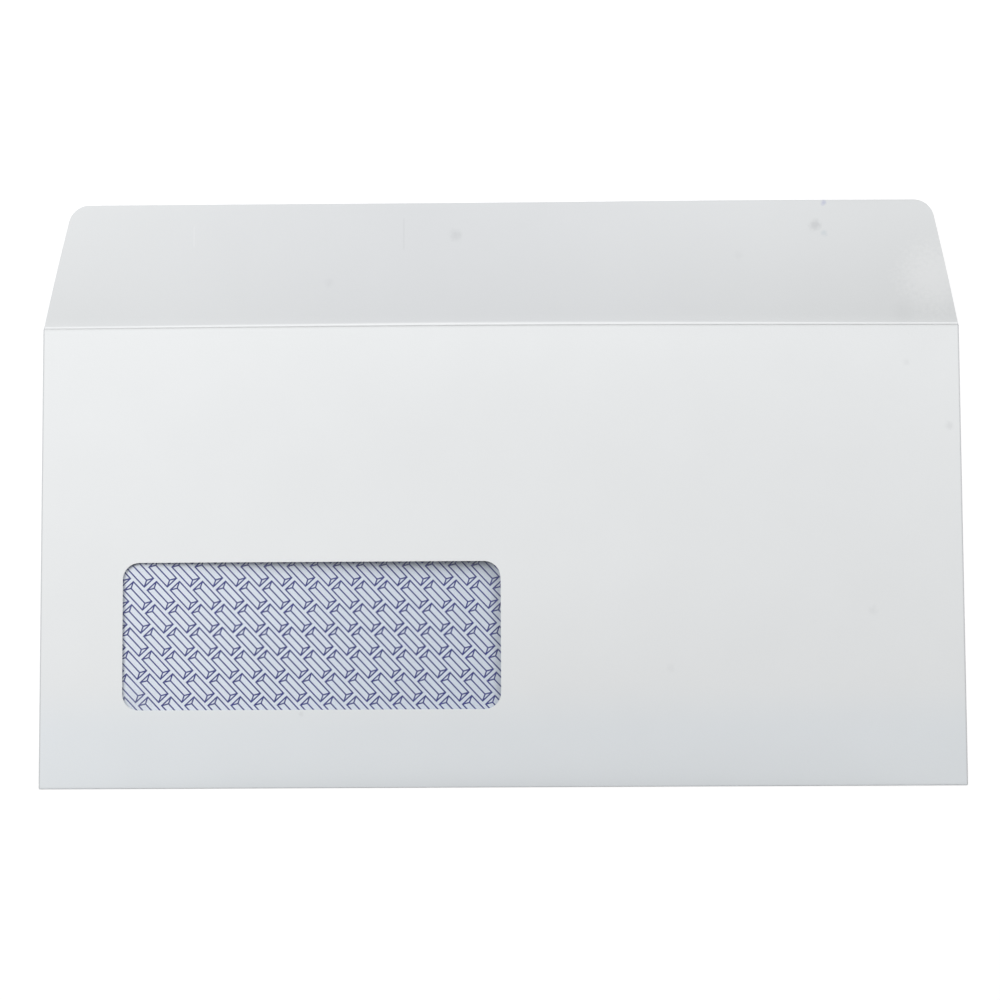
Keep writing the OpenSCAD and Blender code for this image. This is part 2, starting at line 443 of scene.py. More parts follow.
@dataclass
class FoldedSheet:
    """The envelope's one sheet of paper: front, flap, side flaps and back panel."""

    sizes: EnvelopeSizes
    cell: float = 2 * MM
    back_cell: float = 8 * MM
    fold_steps: int = 8
    corner_steps: int = 12
    ridge_steps: int = 4
    support: float = 0.5 * MM
    sway: float = 0.05 * MM
    sway_run: float = 12 * MM
    sway_waves: tuple[Wave, ...] = (Wave(17 * MM, 31 * MM), Wave(-41 * MM, 13 * MM, 1.3))
    sway_hold: int = 4
    sag: float = 0.35 * MM
    sag_middle: tuple[float, float] = (-22 * MM, -1 * MM)
    sag_run: float = 34 * MM
    spring: float = 0.25 * MM
    spring_run: float = 2.5 * MM
    spring_fall: float = 12 * MM
    spring_hold: int = 6
    spring_cuts: int = 7
    flap_step: float = 0.055 * MM
    front_dip: float = 0.02 * MM
    step_run: float = 5 * MM
    piece: bpy.types.Object = field(init=False)

    def build(self, outside: bpy.types.Material, inside: bpy.types.Material) -> bpy.types.Object:
        """Draws the sheet out from its front panel, folds it and cuts its window.

        Args:
            outside: Finish of the outer side.
            inside: Finish of the inner side.

        Returns:
            The finished sheet.
        """
        s = self.sizes
        front = Box(-s.edge, s.lowest, 2 * s.edge, s.ridge - s.lowest)
        self.piece = add_grid("folded_sheet_paper", front, s.front_z, self.cell)
        for finish in (outside, inside):
            self.piece.data.materials.append(finish)
        with editing(self.piece):
            self.add_supports()
            self.draw_out_flap()
            for side in Side:
                self.fold_in(side)
            self.fold_up_back()
        self.map_blank()
        self.raise_front()
        apply_modifier(
            self.piece, "thickness", "SOLIDIFY", thickness=s.paper, offset=0, use_quality_normals=True,
            material_offset=1,
        )
        self.gum_sides(inside)
        self.cut_window()
        smooth(self.piece)
        hand_over(self.piece, "paper", "folded_sheet")
        return self.piece

    def add_supports(self) -> None:
        """Cuts lines close to the folds, so that the front stays smooth right up to them."""
        s = self.sizes
        cuts = [((side.value * (s.edge - self.support), 0, 0), (1, 0, 0)) for side in Side]
        for k in range(self.spring_cuts):
            cuts.append(((0, s.lowest + self.support * (k + 1), 0), (0, 1, 0)))
        cuts.append(((0, s.ridge - self.support, 0), (0, 1, 0)))
        for place, normal in cuts:
            bpy.ops.mesh.select_all(action="SELECT")
            bpy.ops.mesh.bisect(plane_co=place, plane_no=normal)

    def draw_row(self, y: float, half_width: float, last: tuple[float, float]) -> tuple[float, float]:
        """Draws the selected edge out to the next row of a panel that lies level.

        Args:
            y: Where the new row is.
            half_width: Half the new row's width.
            last: The last row's y and half width.

        Returns:
            The new row's y and half width.
        """
        draw_out((0, y - last[0], 0))
        stretch((half_width / last[1], 1, 1), (0, y, 0))
        return y, half_width

    def draw_out_flap(self) -> None:
        """Draws out the crease's ridge, the tapered flap and its rounded corners."""
        s = self.sizes
        pick_open_edges(self.piece, lambda p: p.y > s.ridge - HAIR)
        row = (s.ridge, s.edge)
        for start, width in ((s.ridge, s.ridge_body), (s.crease, s.ridge_flap)):
            for k in range(self.ridge_steps):
                y = start + width * (k + 1) / self.ridge_steps
                row = self.draw_row(y, s.flap_half_width(y - s.crease), row)
        start = row[0]
        corner_start = s.crease + s.flap_depth - s.flap_corner * (1 - math.sin(s.flap_taper))
        rows = math.ceil((corner_start - start) / self.cell)
        for k in range(rows):
            y = start + (corner_start - start) * (k + 1) / rows
            row = self.draw_row(y, s.flap_half_width(y - s.crease), row)
        for k in range(self.corner_steps):
            angle = (math.pi / 2 - s.flap_taper) * (1 - (k + 1) / self.corner_steps)
            depth = s.flap_depth - s.flap_corner * (1 - math.cos(angle))
            row = self.draw_row(s.crease + depth, s.flap_half_width(depth), row)

    def spin_half(self, centre: tuple[float, float, float], axis: tuple[float, float, float]) -> None:
        """Spins the selected edges half round, which makes a fold."""
        bpy.ops.mesh.spin(steps=self.fold_steps, angle=math.pi, center=centre, axis=axis)

    def fold_in(self, side: Side) -> None:
        """Spins a side fold from the front's edge and draws out its side flap with slanted ends."""
        s = self.sizes
        x = side.value * s.edge
        pick_open_edges(self.piece, lambda p: abs(p.x - x) < HAIR and p.y < s.ridge + HAIR)
        self.spin_half((x, 0, s.front_z - s.side_fold), (0, -side.value, 0))
        half_height = (s.ridge - s.lowest) / 2
        draw_out((-side.value * s.side_flap, 0, 0))
        stretch((1, 1 - s.side_slant / half_height, 1), (0, s.lowest + half_height, 0))

    def fold_up_back(self) -> None:
        """Spins the bottom fold and draws out the back panel, with two rounded corners at its free edge."""
        s = self.sizes
        pick_open_edges(self.piece, lambda p: p.y < s.lowest + HAIR and p.z > s.front_z - HAIR)
        self.spin_half((0, s.lowest, s.front_z - s.bottom_fold), (-1, 0, 0))
        half_width = s.width / 2 - s.back_inset
        stretch((half_width / s.edge, 1, 1), (0, s.lowest, 0))
        throat = s.crease - s.throat_drop
        straight = throat - s.back_corner - s.lowest
        row = (s.lowest, half_width)
        rows = math.ceil(straight / self.back_cell)
        for k in range(rows):
            row = self.draw_row(s.lowest + straight * (k + 1) / rows, half_width, row)
        for k in range(self.corner_steps):
            angle = math.pi / 2 * (k + 1) / self.corner_steps
            y = throat - s.back_corner * (1 - math.sin(angle))
            row = self.draw_row(y, half_width - s.back_corner * (1 - math.cos(angle)), row)

    def blank_point(self, p: Vector) -> tuple[float, float]:
        """Where a point of the flatly folded sheet lies on the unfolded blank.

        Args:
            p: A point of the sheet before its front is raised.

        Returns:
            X and Y on the blank, which lies as the front panel does.
        """
        s = self.sizes
        if p.y < s.lowest - HAIR or abs(p.z - s.back_z) < HAIR:
            turn = math.atan2(max(s.lowest - p.y, 0), p.z - s.front_z + s.bottom_fold)
            return p.x, s.lowest - s.bottom_fold * turn - max(p.y - s.lowest, 0)
        if abs(p.x) > s.edge + HAIR or abs(p.z - s.side_z) < HAIR:
            turn = math.atan2(max(abs(p.x) - s.edge, 0), p.z - s.front_z + s.side_fold)
            past = s.edge + s.side_fold * turn + max(s.edge - abs(p.x), 0)
            return math.copysign(past, p.x), p.y
        return p.x, p.y

    def map_blank(self) -> None:
        """Writes where each corner lies on the blank, so that the print follows the paper round its folds."""
        mesh = self.piece.data
        while mesh.uv_layers:
            mesh.uv_layers.remove(mesh.uv_layers[0])
        layer = mesh.uv_layers.new(name=BLANK_MAP)
        for loop in mesh.loops:
            layer.data[loop.index].uv = self.blank_point(mesh.vertices[loop.vertex_index].co)

    def raise_front(self) -> None:
        """Moves the front panel up into its curve, forms the ridge and slopes the flap."""
        s = self.sizes
        for vertex in self.piece.data.vertices:
            p = vertex.co
            if p.z < s.front_z - HAIR or p.y < s.lowest - HAIR:
                continue
            depth = max(p.y - s.crease, 0)
            out = depth / s.flap_depth
            drawn = s.crease_draw * s.share(p.x, p.y) * (1 - out)
            slope = s.flap_slope(p.x, p.y)
            curl = 4 * s.flap_curl * out * (1 - out)
            z = p.z + s.rise(p.x, p.y) + self.ridge_at(p.x, p.y) + self.give_at(p.x, p.y)
            p.y = min(p.y, s.crease) - drawn + depth * math.cos(slope)
            p.z = z + depth * math.sin(slope) + curl

    def ridge_at(self, x: float, y: float) -> float:
        """Height of the ridge that the reopened crease leaves: steep from the body, easy towards the flap."""
        s = self.sizes
        past = y - s.crease
        crest = min(eased((y - s.ridge) / s.ridge_body), eased(1 - past / s.ridge_flap))
        step = math.tanh(past / s.ridge_body) * math.exp(-abs(past) / self.step_run)
        step *= self.flap_step if past > 0 else self.front_dip
        return s.ridge_height * crest + step * (1 - s.across(x, y) ** 2)

    def spring_at(self, x: float, y: float) -> float:
        """Quick rise of the front panel out of its bottom fold, which dies out further up."""
        up = max(y - self.sizes.lowest, 0)
        quick = math.exp(-up / self.spring_fall) - math.exp(-up / self.spring_run)
        return self.spring * quick * (1 - self.sizes.across(x, y) ** self.spring_hold)

    def sway_at(self, x: float, y: float) -> float:
        """Slight waves of a sheet that has been handled, and a sag above its window, none at its folds."""
        s = self.sizes
        held = (1 - s.across(x, y) ** self.sway_hold) * eased((y - s.lowest) / self.sway_run)
        waves = sum(wave.at(x, y) for wave in self.sway_waves)
        away = math.dist((x, y), self.sag_middle) / self.sag_run
        return held * (self.sway * waves - self.sag * math.exp(-away * away))

    def give_at(self, x: float, y: float) -> float:
        """How far the paper at a point stands off its plain curve, which the film follows too."""
        return self.sway_at(x, y) + self.spring_at(x, y)

    def gum_sides(self, finish: bpy.types.Material) -> None:
        """Joins the gummed strips between the side flaps and the back panel to the sheet.

        Args:
            finish: Finish of the strips, which only show at their edges.
        """
        s = self.sizes
        length = (s.ridge - s.lowest) - 2 * s.side_slant - s.gum_width
        strips = []
        for side in Side:
            middle = side.value * (s.edge - s.side_flap / 2)
            bottom = (s.lowest + s.ridge - length) / 2
            outline = Box(middle - s.gum_width / 2, bottom, s.gum_width, length)
            heights = (s.back_z + s.paper / 2, s.side_z - s.paper / 2)
            strip = add_rounded_block(f"gum_{side.name.lower()}", outline, s.gum_width / 4, heights)
            strip.data.materials.append(finish)
            strips.append(strip)
        hold(self.piece, *strips)
        bpy.ops.object.join()

    def cut_window(self) -> None:
        """Cuts the window through the front panel alone."""
        s = self.sizes
        top = s.front_z + s.pocket_rise + s.paper + self.sway * 2
        low = (s.side_z + s.front_z) / 2
        die = add_rounded_block("window_die", s.window, s.window_corner, (low, top))
        cut_with(self.piece, die, "DIFFERENCE")


@dataclass
class WindowFilm:
    """The clear film patch, gummed inside the front panel all round the window."""

    sheet: FoldedSheet
    cell: float = 1.5 * MM
    slack: float = 0.09 * MM
    slack_run: float = 9 * MM
    ripples: tuple[Wave, Wave] = (Wave(5.3 * MM, 19 * MM), Wave(27 * MM, 11 * MM))
    drum: Wave = Wave(2.9 * MM, -7.1 * MM, 0.7)
    drum_share: float = 0.3

    def slack_at(self, x: float, y: float) -> float:
        """Ripples of the free film, which die out at the window's edge."""
        inside = self.sheet.sizes.window.depth_inside(x, y)
        waves = self.ripples[0].at(x, y) * self.ripples[1].at(x, y) + self.drum_share * self.drum.at(x, y)
        return self.slack * eased(inside / self.slack_run) * waves

    def build(self, finish: bpy.types.Material) -> bpy.types.Object:
        """Lays the patch under the front panel and trims its corners.

        Args:
            finish: Finish of the film.

        Returns:
            The finished patch.
        """
        s = self.sheet.sizes
        patch = s.window.grown(s.film_margin)
        level = s.front_z - s.paper / 2 - s.film_gum - s.film / 2
        piece = add_grid("window_film_patch", patch, level, self.cell)
        piece.data.materials.append(finish)
        for vertex in piece.data.vertices:
            p = vertex.co
            p.z += s.rise(p.x, p.y) + self.sheet.give_at(p.x, p.y) + self.slack_at(p.x, p.y)
        apply_modifier(piece, "thickness", "SOLIDIFY", thickness=s.film, offset=0)
        heights = (0, s.front_z + s.pocket_rise + s.paper)
        die = add_rounded_block("film_die", patch.grown(-HAIR), s.window_corner, heights)
        cut_with(piece, die, "INTERSECT")
        smooth(piece)
        hand_over(piece, "film", "window_film")
        return piece


class NodeBoard:
    """A node tree, with short calls for the nodes that the finishes use."""

    def __init__(self, tree: bpy.types.NodeTree) -> None:
        """Takes the tree that the nodes go into."""
        self.tree = tree

    def add(self, kind: str, feeds: dict[str, object] | None = None, **settings: object) -> bpy.types.Node:
        """Adds a node.

        Args:
            kind: Blender's type of node.
            feeds: What goes into its inputs, by name: a socket to link or a value to set.
            **settings: The node's own options.

        Returns:
            The new node.
        """
        node = self.tree.nodes.new(kind)
        for key, value in settings.items():
            setattr(node, key, value)
        self.feed_all(node, feeds or {})
        return node

    def feed(self, socket: Socket, value: object) -> None:
        """Links a socket into an input, or sets the input's value."""
        if isinstance(value, bpy.types.NodeSocket):
            self.tree.links.new(value, socket)
        else:
            socket.default_value = value

    def feed_all(self, node: bpy.types.Node, feeds: dict[str, object]) -> None:
        """Links or sets inputs of a node, by name."""
        for key, value in feeds.items():
            self.feed(node.inputs[key], value)

    def maths(self, operation: str, *values: object) -> Socket:
        """Result of a Math node over one to three values."""
        node = self.add("ShaderNodeMath", operation=operation)
        for socket, value in zip(node.inputs, values):
            self.feed(socket, value)
        return node.outputs["Value"]

    def vector(self, operation: str, *values: object, output: str = "Vector") -> Socket:
        """Result of a Vector Math node over one to three vectors."""
        node = self.add("ShaderNodeVectorMath", operation=operation)
        for socket, value in zip(node.inputs, values):
            self.feed(socket, value)
        return node.outputs[output]

    def ease(self, value: object, start: float, end: float) -> Socket:
        """A value eased from 0 at start to 1 at end, which may be below start."""
        feeds = {"Value": value, "From Min": start, "From Max": end}
        node = self.add("ShaderNodeMapRange", feeds, interpolation_type="SMOOTHSTEP")
        return node.outputs["Result"]

    def blend(self, factor: object, first: object, second: object) -> Socket:
        """Colour between two colours, at a factor from 0 to 1."""
        node = self.add("ShaderNodeMix", data_type="RGBA")
        sockets = [i for i in node.inputs if i.type == "RGBA" and i.enabled]
        self.feed(node.inputs["Factor"], factor)
        self.feed(sockets[0], first)
        self.feed(sockets[1], second)
        return next(o for o in node.outputs if o.type == "RGBA")

    def group(self, tree: bpy.types.NodeTree, feeds: dict[str, object]) -> dict[str, Socket]:
        """Places a node group.

        Args:
            tree: The group's own tree.
            feeds: What goes into its inputs, by name.

        Returns:
            The group's outputs, by name.
        """
        node = self.tree.nodes.new("ShaderNodeGroup")
        node.node_tree = tree
        self.feed_all(node, feeds)
        return {output.name: output for output in node.outputs}


def linear(colour: Colour, alpha: float = 1.0) -> tuple[float, float, float, float]:
    """Scene-linear colour of a screen colour given from 0 to 255."""
    shares = [c / 255 for c in colour]
    red, green, blue = (c / 12.92 if c <= 0.04045 else ((c + 0.055) / 1.055) ** 2.4 for c in shares)
    return red, green, blue, alpha


def new_group(name: str, inputs: dict[str, str], outputs: dict[str, str]) -> tuple[NodeBoard, bpy.types.Node]:
    """Starts a shader node group.

    Args:
        name: Name of the group.
        inputs: Kind of each input socket, by name.
        outputs: Kind of each output socket, by name.

    Returns:
        A board for the group's tree, and the node that gives the inputs.
    """
    tree = bpy.data.node_groups.new(name, "ShaderNodeTree")
    for label, kind in inputs.items():
        tree.interface.new_socket(label, in_out="INPUT", socket_type=f"NodeSocket{kind}")
    for label, kind in outputs.items():
        tree.interface.new_socket(label, in_out="OUTPUT", socket_type=f"NodeSocket{kind}")
    board = NodeBoard(tree)
    return board, board.add("NodeGroupInput")


@dataclass(frozen=True)
class Noise:
    """Settings of a noise texture over points in millimetres."""

    scale: float
    detail: float
    roughness: float = 0.5

    def at(self, board: NodeBoard, point: Socket) -> Socket:
        """The noise at a point, from 0 to 1."""
        feeds = {"Vector": point, "Scale": self.scale, "Detail": self.detail, "Roughness": self.roughness}
        return board.add("ShaderNodeTexNoise", feeds).outputs["Fac"]


class Effects:
    """The shader node groups that the finishes share. Their points are in millimetres."""

    felt: Noise = Noise(1.9, 5.0, 0.65)
    fibre: Noise = Noise(1.3, 3.0)
    fibre_stretch: tuple[float, float, float] = (0.55, 3.2, 1.0)
    fibre_share: float = 0.45
    tone_gain: float = 0.35
    tone_base: float = -0.25
    pulp: Noise = Noise(0.055, 2.0)
    ragged: Noise = Noise(1.1, 2.0)
    raggedness: float = 0.9
    smudge_core: float = 0.1
    score_core: float = 0.7

    def __init__(self, tint: TintSizes, sizes: EnvelopeSizes) -> None:
        """Builds each group once.

        Args:
            tint: Sizes of the printed bars.
            sizes: Sizes of the envelope, for the place of the first bar.
        """
        self.tooth = self.make_tooth()
        self.smudge = self.make_smudge()
        self.score = self.make_score()
        self.band = self.make_band()
        self.tint = self.make_tint(tint, sizes)

    def make_tooth(self) -> bpy.types.NodeTree:
        """Paper: felted fibres a fraction of a millimetre apart, and the cloudiness of the pulp."""
        board, given = new_group("paper_tooth", {"Point": "Vector"}, {"Tone": "Float", "Height": "Float"})
        point = given.outputs["Point"]
        fibre = self.fibre.at(board, board.vector("MULTIPLY", point, self.fibre_stretch))
        height = board.maths("MULTIPLY_ADD", fibre, self.fibre_share, self.felt.at(board, point))
        fine = board.maths("MULTIPLY_ADD", height, self.tone_gain, self.tone_base)
        blotch = board.maths("SUBTRACT", self.pulp.at(board, point), 0.5)
        board.add("NodeGroupOutput", {"Tone": board.maths("ADD", fine, blotch), "Height": height})
        return board.tree

    def make_smudge(self) -> bpy.types.NodeTree:
        """A soft spot with an uneven rim."""
        kinds = {"Point": "Vector", "Centre": "Vector", "Radius": "Float"}
        board, given = new_group("smudge", kinds, {"Mask": "Float"})
        flat = board.vector("MULTIPLY", given.outputs["Point"], (1.0, 1.0, 0.0))
        away = board.vector("DISTANCE", flat, given.outputs["Centre"], output="Value")
        share = board.maths("DIVIDE", away, given.outputs["Radius"])
        rim = board.maths("MULTIPLY_ADD", self.ragged.at(board, flat), self.raggedness, -self.raggedness / 2)
        mask = board.ease(board.maths("ADD", share, rim), 1.0, self.smudge_core)
        board.add("NodeGroupOutput", {"Mask": mask})
        return board.tree

    def make_score(self) -> bpy.types.NodeTree:
        """A faint upright line, as a fingernail or a feed roller leaves."""
        kinds = {"Point": "Vector", "Centre": "Vector", "Half Length": "Float", "Width": "Float"}
        board, given = new_group("score", kinds, {"Mask": "Float"})
        away = board.vector("SUBTRACT", given.outputs["Point"], given.outputs["Centre"])
        parts = board.add("ShaderNodeSeparateXYZ", {"Vector": board.vector("ABSOLUTE", away)})
        across = board.maths("DIVIDE", parts.outputs["X"], given.outputs["Width"])
        along = board.maths("DIVIDE", parts.outputs["Y"], given.outputs["Half Length"])
        mask = board.maths("MULTIPLY", board.ease(across, 1.0, 0.0), board.ease(along, 1.0, self.score_core))
        board.add("NodeGroupOutput", {"Mask": mask})
        return board.tree

    def make_band(self) -> bpy.types.NodeTree:
        """A band between two values, with soft edges."""
        kinds = dict.fromkeys(("Value", "From", "To", "Soft"), "Float")
        board, given = new_group("band", kinds, {"Mask": "Float"})
        middle = board.maths("MULTIPLY", board.maths("ADD", given.outputs["From"], given.outputs["To"]), 0.5)
        half = board.maths("SUBTRACT", given.outputs["To"], middle)
        away = board.maths("ABSOLUTE", board.maths("SUBTRACT", given.outputs["Value"], middle))
        inside = board.maths("DIVIDE", board.maths("SUBTRACT", half, away), given.outputs["Soft"])
        board.add("NodeGroupOutput", {"Mask": board.ease(inside, 0.0, 1.0)})
        return board.tree

    def make_tint(self, tint: TintSizes, sizes: EnvelopeSizes) -> bpy.types.NodeTree:
        """The printed tint on the blank: bars with hipped ends in running bond, as a mask of their lines."""
        board, given = new_group("hipped_bar_tint", {"Blank": "Vector"}, {"Ink": "Float"})
        unfold = 2 * sizes.lowest - math.pi * sizes.bottom_fold
        over, shift = (1.0, -1.0, 0.0), (0.0, unfold / MM, 0.0)
        place = board.vector("MULTIPLY_ADD", given.outputs["Blank"], over, shift)
        left, bottom = sizes.window.left / MM, sizes.window.bottom / MM
        first = (left + tint.first_bar[0], bottom + tint.first_bar[1], 0.0)
        frame = {"Vector": place, "Location": first, "Rotation": (0.0, 0.0, -tint.fall)}
        turned = board.add("ShaderNodeMapping", frame, vector_type="TEXTURE")
        parts = board.add("ShaderNodeSeparateXYZ", {"Vector": turned.outputs["Vector"]})
        along_pitch, across_pitch = tint.bar_length + tint.gap_along, tint.bar_width + tint.gap_across
        across = board.maths("WRAP", parts.outputs["Y"], across_pitch / 2, -across_pitch / 2)
        line = board.maths("DIVIDE", board.maths("SUBTRACT", parts.outputs["Y"], across), across_pitch)
        shifted = board.maths("MULTIPLY_ADD", line, -along_pitch / 2, parts.outputs["X"])
        a = board.maths("ABSOLUTE", board.maths("WRAP", shifted, along_pitch / 2, -along_pitch / 2))
        b = board.maths("ABSOLUTE", across)
        half_l, half_w, half_line = tint.bar_length / 2, tint.bar_width / 2, tint.line / 2
        ridge_end = half_l - tint.hip
        rim = board.maths("MAXIMUM", board.maths("SUBTRACT", a, half_l), board.maths("SUBTRACT", b, half_w))
        outline = board.maths("LESS_THAN", board.maths("ABSOLUTE", rim), half_line)
        past = board.maths("SUBTRACT", a, ridge_end)
        off_top = board.maths("MAXIMUM", board.maths("SUBTRACT", b, half_line), past)
        top = board.maths("LESS_THAN", off_top, 0.0)
        fallen = board.maths("MULTIPLY", b, tint.hip)
        skew = board.maths("SUBTRACT", board.maths("MULTIPLY", past, half_w), fallen)
        slant = half_line * math.hypot(half_w, tint.hip)
        near = board.maths("LESS_THAN", board.maths("ABSOLUTE", skew), slant)
        at_end = board.maths("GREATER_THAN", past, 0.0)
        within = board.maths("MULTIPLY", board.maths("LESS_THAN", rim, 0.0), at_end)
        hips = board.maths("MULTIPLY", near, within)
        ink = board.maths("MAXIMUM", board.maths("MAXIMUM", outline, top), hips)
        board.add("NodeGroupOutput", {"Ink": ink})
        return board.tree


@dataclass(frozen=True)
class Mark:
    """A soft mark, in millimetres."""

    x: float
    y: float
    radius: float
    strength: float
    colour: Colour = (150, 152, 156)

    def mask(self, board: NodeBoard, effects: Effects, point: Socket) -> Socket:
        """Where the mark is, from 0 to its strength."""
        spot = {"Point": point, "Centre": (self.x, self.y, 0.0), "Radius": self.radius}
        return board.maths("MULTIPLY", board.group(effects.smudge, spot)["Mask"], self.strength)


@dataclass(frozen=True)
class Score:
    """A faint line up the paper, in millimetres."""

    x: float
    y: float
    half_length: float
    width: float
    strength: float
    colour: Colour = (150, 152, 156)

    def mask(self, board: NodeBoard, effects: Effects, point: Socket) -> Socket:
        """Where the line is, from 0 to its strength."""
        line = {"Point": point, "Centre": (self.x, self.y, 0.0)}
        line |= {"Half Length": self.half_length, "Width": self.width}
        return board.maths("MULTIPLY", board.group(effects.score, line)["Mask"], self.strength)


def new_material(name: str) -> tuple[bpy.types.Material, NodeBoard, bpy.types.Node]:
    """Starts a material.

    Args:
        name: Name of the material.

    Returns:
        The material, a board for its tree, and its Principled shader.
    """
    material = bpy.data.materials.new(name)
    material.use_nodes = True
    board = NodeBoard(material.node_tree)
    shader = next(n for n in board.tree.nodes if n.type == "BSDF_PRINCIPLED")
    return material, board, shader


def object_point(board: NodeBoard) -> Socket:
    """The point on the piece, in millimetres."""
    where = board.add("ShaderNodeTexCoord").outputs["Object"]
    return board.vector("MULTIPLY", where, (1 / MM, 1 / MM, 1 / MM))


def blank_point(board: NodeBoard) -> Socket:
    """The point on the unfolded blank, in millimetres."""
    where = board.add("ShaderNodeUVMap", uv_map=BLANK_MAP).outputs["UV"]
    return board.vector("MULTIPLY", where, (1 / MM, 1 / MM, 0.0))


def toned(board: NodeBoard, colour: object, tone: Socket, strength: float) -> Socket:
    """A colour made a little lighter or darker by a tone around zero."""
    plain = colour if isinstance(colour, bpy.types.NodeSocket) else colour[:3]
    factor = board.maths("MULTIPLY_ADD", tone, strength, 1.0)
    scaled = board.add("ShaderNodeVectorMath", {"Vector": plain, "Scale": factor}, operation="SCALE")
    return scaled.outputs["Vector"]


def relief(board: NodeBoard, height: Socket, depth: float) -> Socket:
    """Normal of a felted surface, from its height and its depth in millimetres."""
    bump = board.add("ShaderNodeBump", {"Height": height, "Strength": 1.0, "Distance": depth * MM})
    return bump.outputs["Normal"]


@dataclass(frozen=True)
class OuterPaper:
    """The outer side of the sheet: matt white wove paper with a few marks of handling, painted shade on the
    flap and along the side folds, and a painted light on the flap's right end.
    """

    colour: Colour = (233, 235, 236)
    # Painted shade: the flap is greyer than the body, and greyer still towards its middle.
    painted_flap_shade: Colour = (221, 223, 224)
    painted_flap_shade_middle: Colour = (212, 214, 216)
    flap_shade_centre: float = -12.0
    flap_shade_run: float = 125.0
    # The body is a little darker and cooler towards its bottom fold.
    foot: Colour = (229, 233, 236)
    foot_run: tuple[float, float] = (-29.0, -43.0)
    # Painted shade along each side fold: a thin darker line.
    fold: Colour = (206, 208, 210)
    fold_shade_band: tuple[float, float] = (0.4, 0.2)
    crease_soft: float = 0.6
    grain: float = 0.03
    roughness: float = 0.54
    roughness_grain: float = 0.12
    specular: float = 0.3
    tooth: float = 0.012
    marks: tuple[Mark, ...] = (
        Mark(-10.7, 76.6, 2.1, 0.18),
        Mark(75.4, 78.6, 2.0, 0.27),
        Mark(77.6, 76.6, 1.2, 0.2, (150, 172, 186)),
        Mark(77.5, 84.0, 1.0, 0.3, (120, 130, 190)),
        Mark(57.0, 71.3, 1.6, 0.05),
        Mark(-41.0, 65.1, 1.6, 0.08),
        Mark(107.2, 30.4, 1.4, 0.14),
        Mark(-47.7, -37.5, 0.9, 0.12),
        # A broad white spot: painted light on the flap's right end.
        Mark(104.0, 66.0, 12.0, 0.22, (255, 255, 255)),
        Mark(96.5, 57.8, 4.0, 0.045),
        Mark(97.2, 45.7, 1.2, 0.08),
        Mark(88.1, -13.6, 1.6, 0.08),
        Mark(39.8, -27.0, 1.4, 0.06),
    )
    scores: tuple[Score, ...] = (
        Score(-73.6, 76.9, 3.0, 0.3, 0.1, (255, 255, 255)),
        Score(-23.1, 77.0, 4.5, 0.35, 0.1),
    )

    def make(self, effects: Effects, sizes: EnvelopeSizes) -> bpy.types.Material:
        """Builds the material.

        Args:
            effects: The shared node groups.
            sizes: Sizes of the envelope, for where the flap begins.

        Returns:
            The material.
        """
        material, board, shader = new_material("outer_paper")
        point = object_point(board)
        tooth = board.group(effects.tooth, {"Point": point})
        colour = self.plain_tone(board, effects, sizes, point)
        for mark in (*self.marks, *self.scores):
            colour = board.blend(mark.mask(board, effects, point), colour, linear(mark.colour))
        board.feed_all(shader, {
            "Base Color": toned(board, colour, tooth["Tone"], self.grain),
            "Roughness": board.maths("MULTIPLY_ADD", tooth["Height"], self.roughness_grain, self.roughness),
            "Specular IOR Level": self.specular,
            "Normal": relief(board, tooth["Height"], self.tooth),
        })
        return material

    def plain_tone(self, board: NodeBoard, effects: Effects, sizes: EnvelopeSizes, point: Socket) -> Socket:
        """Colour of the paper without its marks.

        Args:
            board: Board of the material's tree.
            effects: The shared node groups.
            sizes: Sizes of the envelope, for where the flap and the side folds are.
            point: The point on the piece, in millimetres.

        Returns:
            The colour: the body's paper, a little darker and cooler towards its bottom fold; a painted shade
                over the flap, deepest near its middle; and a painted shade along each side fold.
        """
        parts = board.add("ShaderNodeSeparateXYZ", {"Vector": point}).outputs
        low = board.ease(parts["Y"], *self.foot_run)
        body_colour = board.blend(low, linear(self.colour), linear(self.foot))
        # Painted shade over the flap, deepest near its middle.
        away = board.maths("ABSOLUTE", board.maths("SUBTRACT", parts["X"], self.flap_shade_centre))
        middle_shade_share = board.ease(away, self.flap_shade_run, 0.0)
        painted_flap_shade = board.blend(middle_shade_share, linear(self.painted_flap_shade), linear(self.painted_flap_shade_middle))
        # The flap takes the painted shade, and the body keeps the paper's colour.
        crease, beyond = sizes.crease / MM, 2 * (sizes.crease + sizes.flap_depth) / MM
        reach = {"Value": parts["Y"], "From": crease, "To": beyond, "Soft": self.crease_soft}
        colour = board.blend(board.group(effects.band, reach)["Mask"], body_colour, painted_flap_shade)
        # A painted shade along each side fold.
        start, full = (sizes.width / 2 / MM - inset for inset in self.fold_shade_band)
        folded = board.ease(board.maths("ABSOLUTE", parts["X"]), start, full)
        return board.blend(folded, colour, linear(self.fold))


